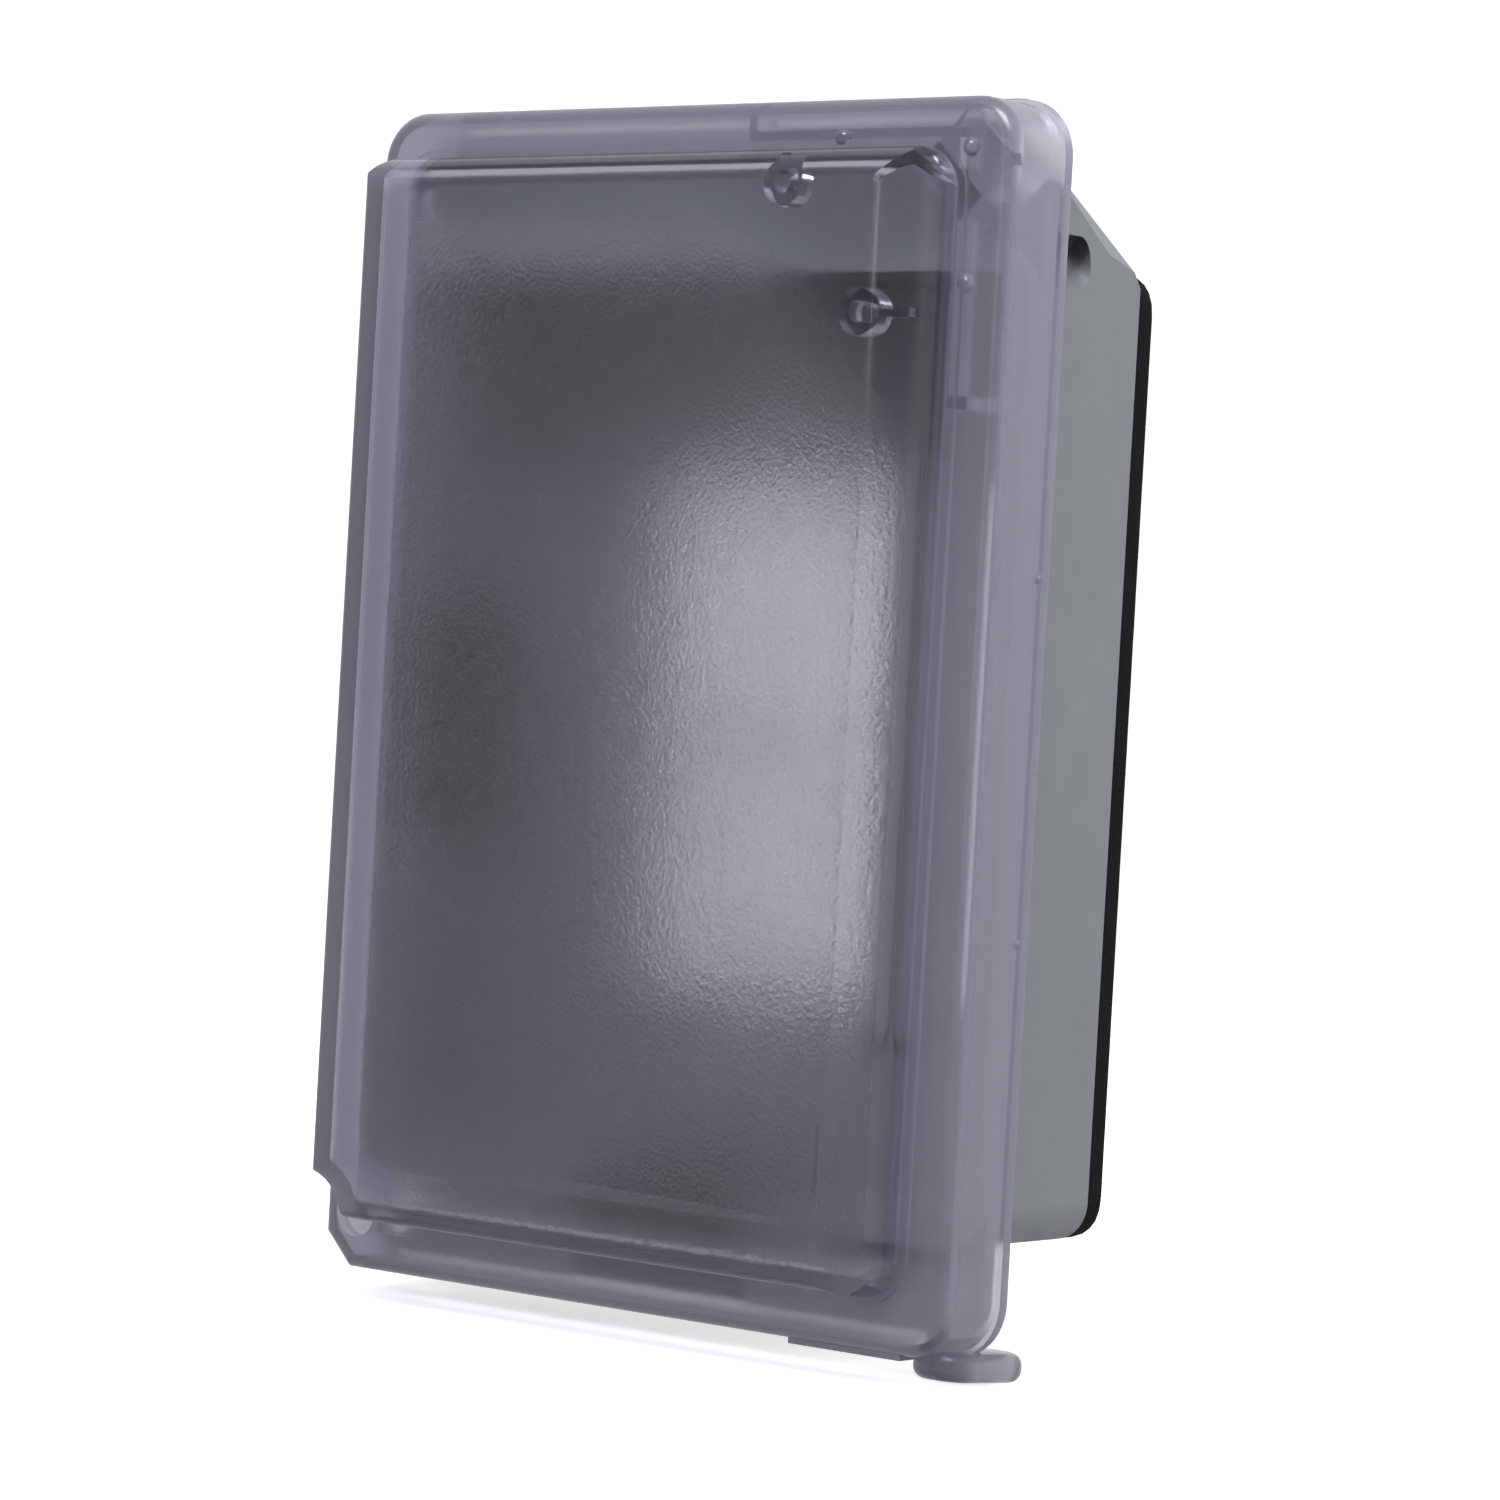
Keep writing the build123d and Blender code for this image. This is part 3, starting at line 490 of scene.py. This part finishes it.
# the foam's edge: millimetres inwards, share of its thickness
GASKET_PROFILE = [(0.25, 0.0), (0.05, 0.06), (0.0, 0.22), (0.0, 0.5), (0.0, 0.78), (0.05, 0.94),
                  (0.25, 1.0)]


def foam_gasket():
    """Foam ring squeezed a little between wall and base, its edges bulging and uneven."""
    low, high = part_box("wall_gasket")
    outer = round_polygon(box_corners(low.x, high.x, low.z, high.z), GASKET_CORNER)
    wide, tall = OPENING_WIDE
    narrow, long = OPENING_TALL
    cross = [(-wide, -tall), (-narrow, -tall), (-narrow, -long), (narrow, -long),
             (narrow, -tall), (wide, -tall), (wide, tall), (narrow, tall),
             (narrow, long), (-narrow, long), (-narrow, tall), (-wide, tall)]
    inner = round_polygon(cross, OPENING_CORNER)

    def uneven(p):
        wave = math.sin(p.x * GASKET_WAVES[0]) * math.cos(p.y * GASKET_WAVES[1])
        return p - p.normalized() * GASKET_UNEVEN * (1 + wave)

    sheet = Sheet(lambda x, z, y: Vector((x, y, z)))
    edges = []
    for outline, sign in ((outer, 1), (inner, -1)):
        rings = []
        for inset, share in GASKET_PROFILE:
            shifted = inset_outline(outline, sign * inset * MM)
            if 0 < share < 1:
                shifted = [uneven(p) for p in shifted]
            rings.append(sheet.loop(shifted, low.y + (high.y - low.y) * share))
        sheet.wall(rings)
        edges.append(rings)
    for end in (0, -1):
        sheet.fill(edges[0][end], edges[1][end])
    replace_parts(sheet.build("foam_gasket", "black_foam"), "wall_gasket")


SEAL_FRONT = -22.0 * MM       # y of the seal's front edge
CORD_Y = -14.0 * MM           # y of the cord's middle
SEAL_CORNER = 2.4 * MM
# the seal's rim, outside lip, groove for the base's wall, inside lip: millimetres inwards and
# along from the outside
SEAL_PROFILE = [(0.5, 0.0), (0.15, 0.15), (0.0, 0.45), (0.0, 0.85), (0.15, 1.0), (1.6, 1.12),
                (1.6, 3.65), (0.15, 3.75), (0.0, 3.95), (0.0, 4.35), (0.15, 4.65), (0.5, 4.8)]
# collar and membrane round the cord, on either face: radius and depth below it, millimetres
SEAL_COLLAR = [(6.6, 0.0), (6.2, 0.0), (5.4, 0.0), (4.9, 0.2), (4.75, 1.2), (4.3, 1.7),
               (3.2, 1.9), (1.4, 1.9), (0.35, 2.05)]
BLOCK_HALF = 13.85 * MM
BLOCK_CORNER = 0.8 * MM
BLOCK_EDGE = 0.5 * MM         # how far its ends are drawn in
BLOCK_GROOVE = 0.22 * MM      # depth between its ribs
BLOCK_SPAN = (-48.9 * MM, -46.3 * MM)
BLOCK_CORNERS = box_corners(-27.3 * MM, -21.4 * MM, -BLOCK_HALF, BLOCK_HALF)
CAP_CORNERS = box_corners(-25.4 * MM, -23.4 * MM, -BLOCK_HALF, BLOCK_HALF)
CAP_INSIDE = -48.7 * MM


def port_sheet(turn):
    """Sheet whose outlines lie in y and z of the left port, turned into a port's place."""
    return Sheet(lambda y, z, x: turn(Vector((x, y, z))))


def rubber_seal(name, turn):
    """Rubber cord seal: lips outside and inside the wall, and a closed membrane between."""
    low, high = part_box("left_cord_seal")
    sheet = port_sheet(turn)
    outline = round_polygon(box_corners(SEAL_FRONT, high.y, -high.z, high.z), SEAL_CORNER)
    rings = [sheet.loop(inset_outline(outline, inset * MM), low.x + along * MM)
             for inset, along in SEAL_PROFILE]
    sheet.wall(rings)
    for face, end_ring, sign in ((low.x, rings[0], 1), (high.x, rings[-1], -1)):
        hoops = [sheet.loop(circle(CORD_Y, radius * MM), face + sign * sunk * MM)
                 for radius, sunk in SEAL_COLLAR]
        sheet.wall(hoops)
        sheet.fill(end_ring, hoops[0])
        sheet.work.faces.new(hoops[-1])
    return sheet.build(name, "black_rubber")


def seal_block(name, corners, span, turn, ribs):
    """Ribbed rubber block that closes a port in front of its seal."""
    sheet = port_sheet(turn)
    outline = round_polygon(corners, BLOCK_CORNER)
    start, end = span
    count = ribs * 4
    rings = []
    for k in range(count + 1):
        if k in (0, count):
            inset = BLOCK_EDGE
        else:
            inset = BLOCK_GROOVE if k % 4 in (1, 2) else 0.0
        rings.append(sheet.loop(inset_outline(outline, inset),
                                start + (end - start) * k / count))
    sheet.wall(rings)
    sheet.fill(rings[0])
    sheet.fill(rings[-1])
    sheet.build(name, "black_rubber")


def cord_seals():
    """The left port's seal and block, and the same turned into the bottom port, with a cap."""
    low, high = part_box("wall_gasket")
    drop = (high.x - low.x) / 2 - (high.z - low.z) / 2
    quarter = Matrix.Rotation(math.radians(-90), 3, "Y")

    def to_left(v):
        return v

    def to_bottom(v):
        return quarter @ v + Vector((0, 0, drop))

    for side, turn in (("left", to_left), ("bottom", to_bottom)):
        seal = rubber_seal(f"{side}_seal", turn)
        seal_block(f"{side}_seal_block", BLOCK_CORNERS, BLOCK_SPAN, turn, 2)
        if side == "bottom":
            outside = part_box("bottom_cord_seal")[0].z - drop
            seal_block("bottom_seal_cap", CAP_CORNERS, (outside, CAP_INSIDE), turn, 5)
        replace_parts(seal, f"{side}_cord_seal")


foam_gasket()
cord_seals()


# ---------------------------------------------------------------- stage, light, camera
STAGE_FRONT, STAGE_BACK, STAGE_HALF = -2.0, 2.2, 4.0    # metres, turned to face the camera
STAGE_BEND, STAGE_TOP = 1.2, 4.0                        # radius and height of its back
STAGE_STEPS = 16
STAGE_GAP = 0.5 * MM                                    # from the object down to the floor


def paper():
    """Pale paper that is a plain light to everything but the camera."""
    s = Shader("floor_paper")
    drift = s.mix("RGBA", s.noise(3, 2), (0.93, 0.93, 0.93), (0.96, 0.96, 0.96))
    sheet = s.principled(Base_Color=drift, Roughness=0.9, Emission_Color=(1, 1, 1),
                         Emission_Strength=FLOOR_GLOW)
    path = s.light_path()
    strength = s.mix("FLOAT", s.scattered(path), FLOOR_SEEN, FLOOR_GREY)
    dim = s.node("ShaderNodeEmission", {"Strength": strength}).outputs[0]
    return s.finish(s.mix_shader(path["Is Camera Ray"], dim, sheet))


def stage_floor():
    """Plain pale floor that curves up behind the object."""
    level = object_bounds()[0].z - STAGE_GAP
    flat_end = STAGE_BACK - STAGE_BEND
    profile = [(STAGE_FRONT, 0.0), (flat_end, 0.0)]
    for k in range(1, STAGE_STEPS + 1):
        turn = math.pi / 2 * k / STAGE_STEPS
        profile.append((flat_end + STAGE_BEND * math.sin(turn),
                        STAGE_BEND * (1 - math.cos(turn))))
    profile.append((STAGE_BACK, STAGE_TOP))
    spin = Matrix.Rotation(CAM_AZIMUTH, 3, "Z")
    work = bmesh.new()
    rows = [[work.verts.new(spin @ Vector((x, y, 0)) + Vector((0, 0, level + z)))
             for x in (-STAGE_HALF, STAGE_HALF)] for y, z in profile]
    for first, second in zip(rows, rows[1:]):
        work.faces.new((first[0], first[1], second[1], second[0]))
    mesh = bpy.data.meshes.new("floor")
    work.to_mesh(mesh)
    work.free()
    mesh.shade_smooth()
    mesh.materials.append(paper())
    link_object("floor", mesh)


def world():
    """Bright behind the object, dimmer in front and overhead; plain white to the camera."""
    studio = bpy.data.worlds.new("studio")
    bpy.context.scene.world = studio
    w = Nodes(studio, "ShaderNodeOutputWorld")
    facing = w.split(w.node("ShaderNodeTexCoord").outputs["Generated"])
    forward = w.times(facing["Y"], -1.0)
    matt = w.remap(forward, MATT_TURN, WORLD_MATT)
    seen = w.remap(forward, SEEN_TURN, WORLD_SEEN)
    seen = w.times(seen, w.remap(facing["Z"], CEILING_RISE, (1.0, CEILING)))
    path = w.light_path()
    scattered = w.scattered(path)
    direct = w.times(seen, w.math("SUBTRACT", 1.0, scattered))
    room = w.math("ADD", direct, w.times(matt, scattered))
    strength = w.math("MAXIMUM", room, path["Is Camera Ray"])
    shine = w.node("ShaderNodeBackground", {"Color": (1, 1, 1), "Strength": strength})
    w.feed(w.out.inputs["Surface"], shine.outputs[0])


def towards(azimuth, elevation):
    """Unit vector from the object's middle; azimuth 0 is its front, 90 degrees its right."""
    return Vector((math.sin(azimuth) * math.cos(elevation),
                   -math.cos(azimuth) * math.cos(elevation), math.sin(elevation)))


def softbox(name, azimuth, elevation, distance, size, watts):
    """Area light aimed at the object's middle, placed by angles in degrees round it."""
    back = towards(math.radians(azimuth), math.radians(elevation))
    light = bpy.data.lights.new(name, "AREA")
    light.shape = "RECTANGLE"
    light.size, light.size_y = size
    light.energy = watts
    obj = link_object(name, light)
    obj.location = back * distance
    obj.rotation_mode = "QUATERNION"
    obj.rotation_quaternion = back.to_track_quat("Z", "Y")
    return obj


def lights():
    softbox("overhead", azimuth=20, elevation=52, distance=1.2, size=(0.5, 0.5), watts=17)
    side = softbox("side", azimuth=95, elevation=12, distance=1.1, size=(0.5, 1.0), watts=17)
    side.visible_glossy = False          # or it draws a bright bar down the lid's edge
    side.visible_transmission = False
    softbox("strip", azimuth=-16, elevation=6, distance=1.4, size=(0.3, 1.1), watts=3)


def camera():
    back = towards(CAM_AZIMUTH, CAM_ELEVATION)
    right = Vector((math.cos(CAM_AZIMUTH), math.sin(CAM_AZIMUTH), 0))
    up = back.cross(right)
    across = right * math.cos(CAM_ROLL) + up * math.sin(CAM_ROLL)
    upright = up * math.cos(CAM_ROLL) - right * math.sin(CAM_ROLL)
    data = bpy.data.cameras.new("camera")
    data.lens = CAM_LENS_MM
    data.sensor_width = CAM_SENSOR_MM
    data.clip_start = 0.01
    data.clip_end = 20
    obj = link_object("camera", data)
    place = right * CAM_AIM_RIGHT + up * CAM_AIM_UP + back * CAM_DISTANCE
    turn = Matrix((across, upright, back)).transposed().to_4x4()
    obj.matrix_world = Matrix.Translation(place) @ turn
    bpy.context.scene.camera = obj


stage_floor()
world()
lights()
camera()
bpy.context.scene.view_settings.view_transform = "Standard"
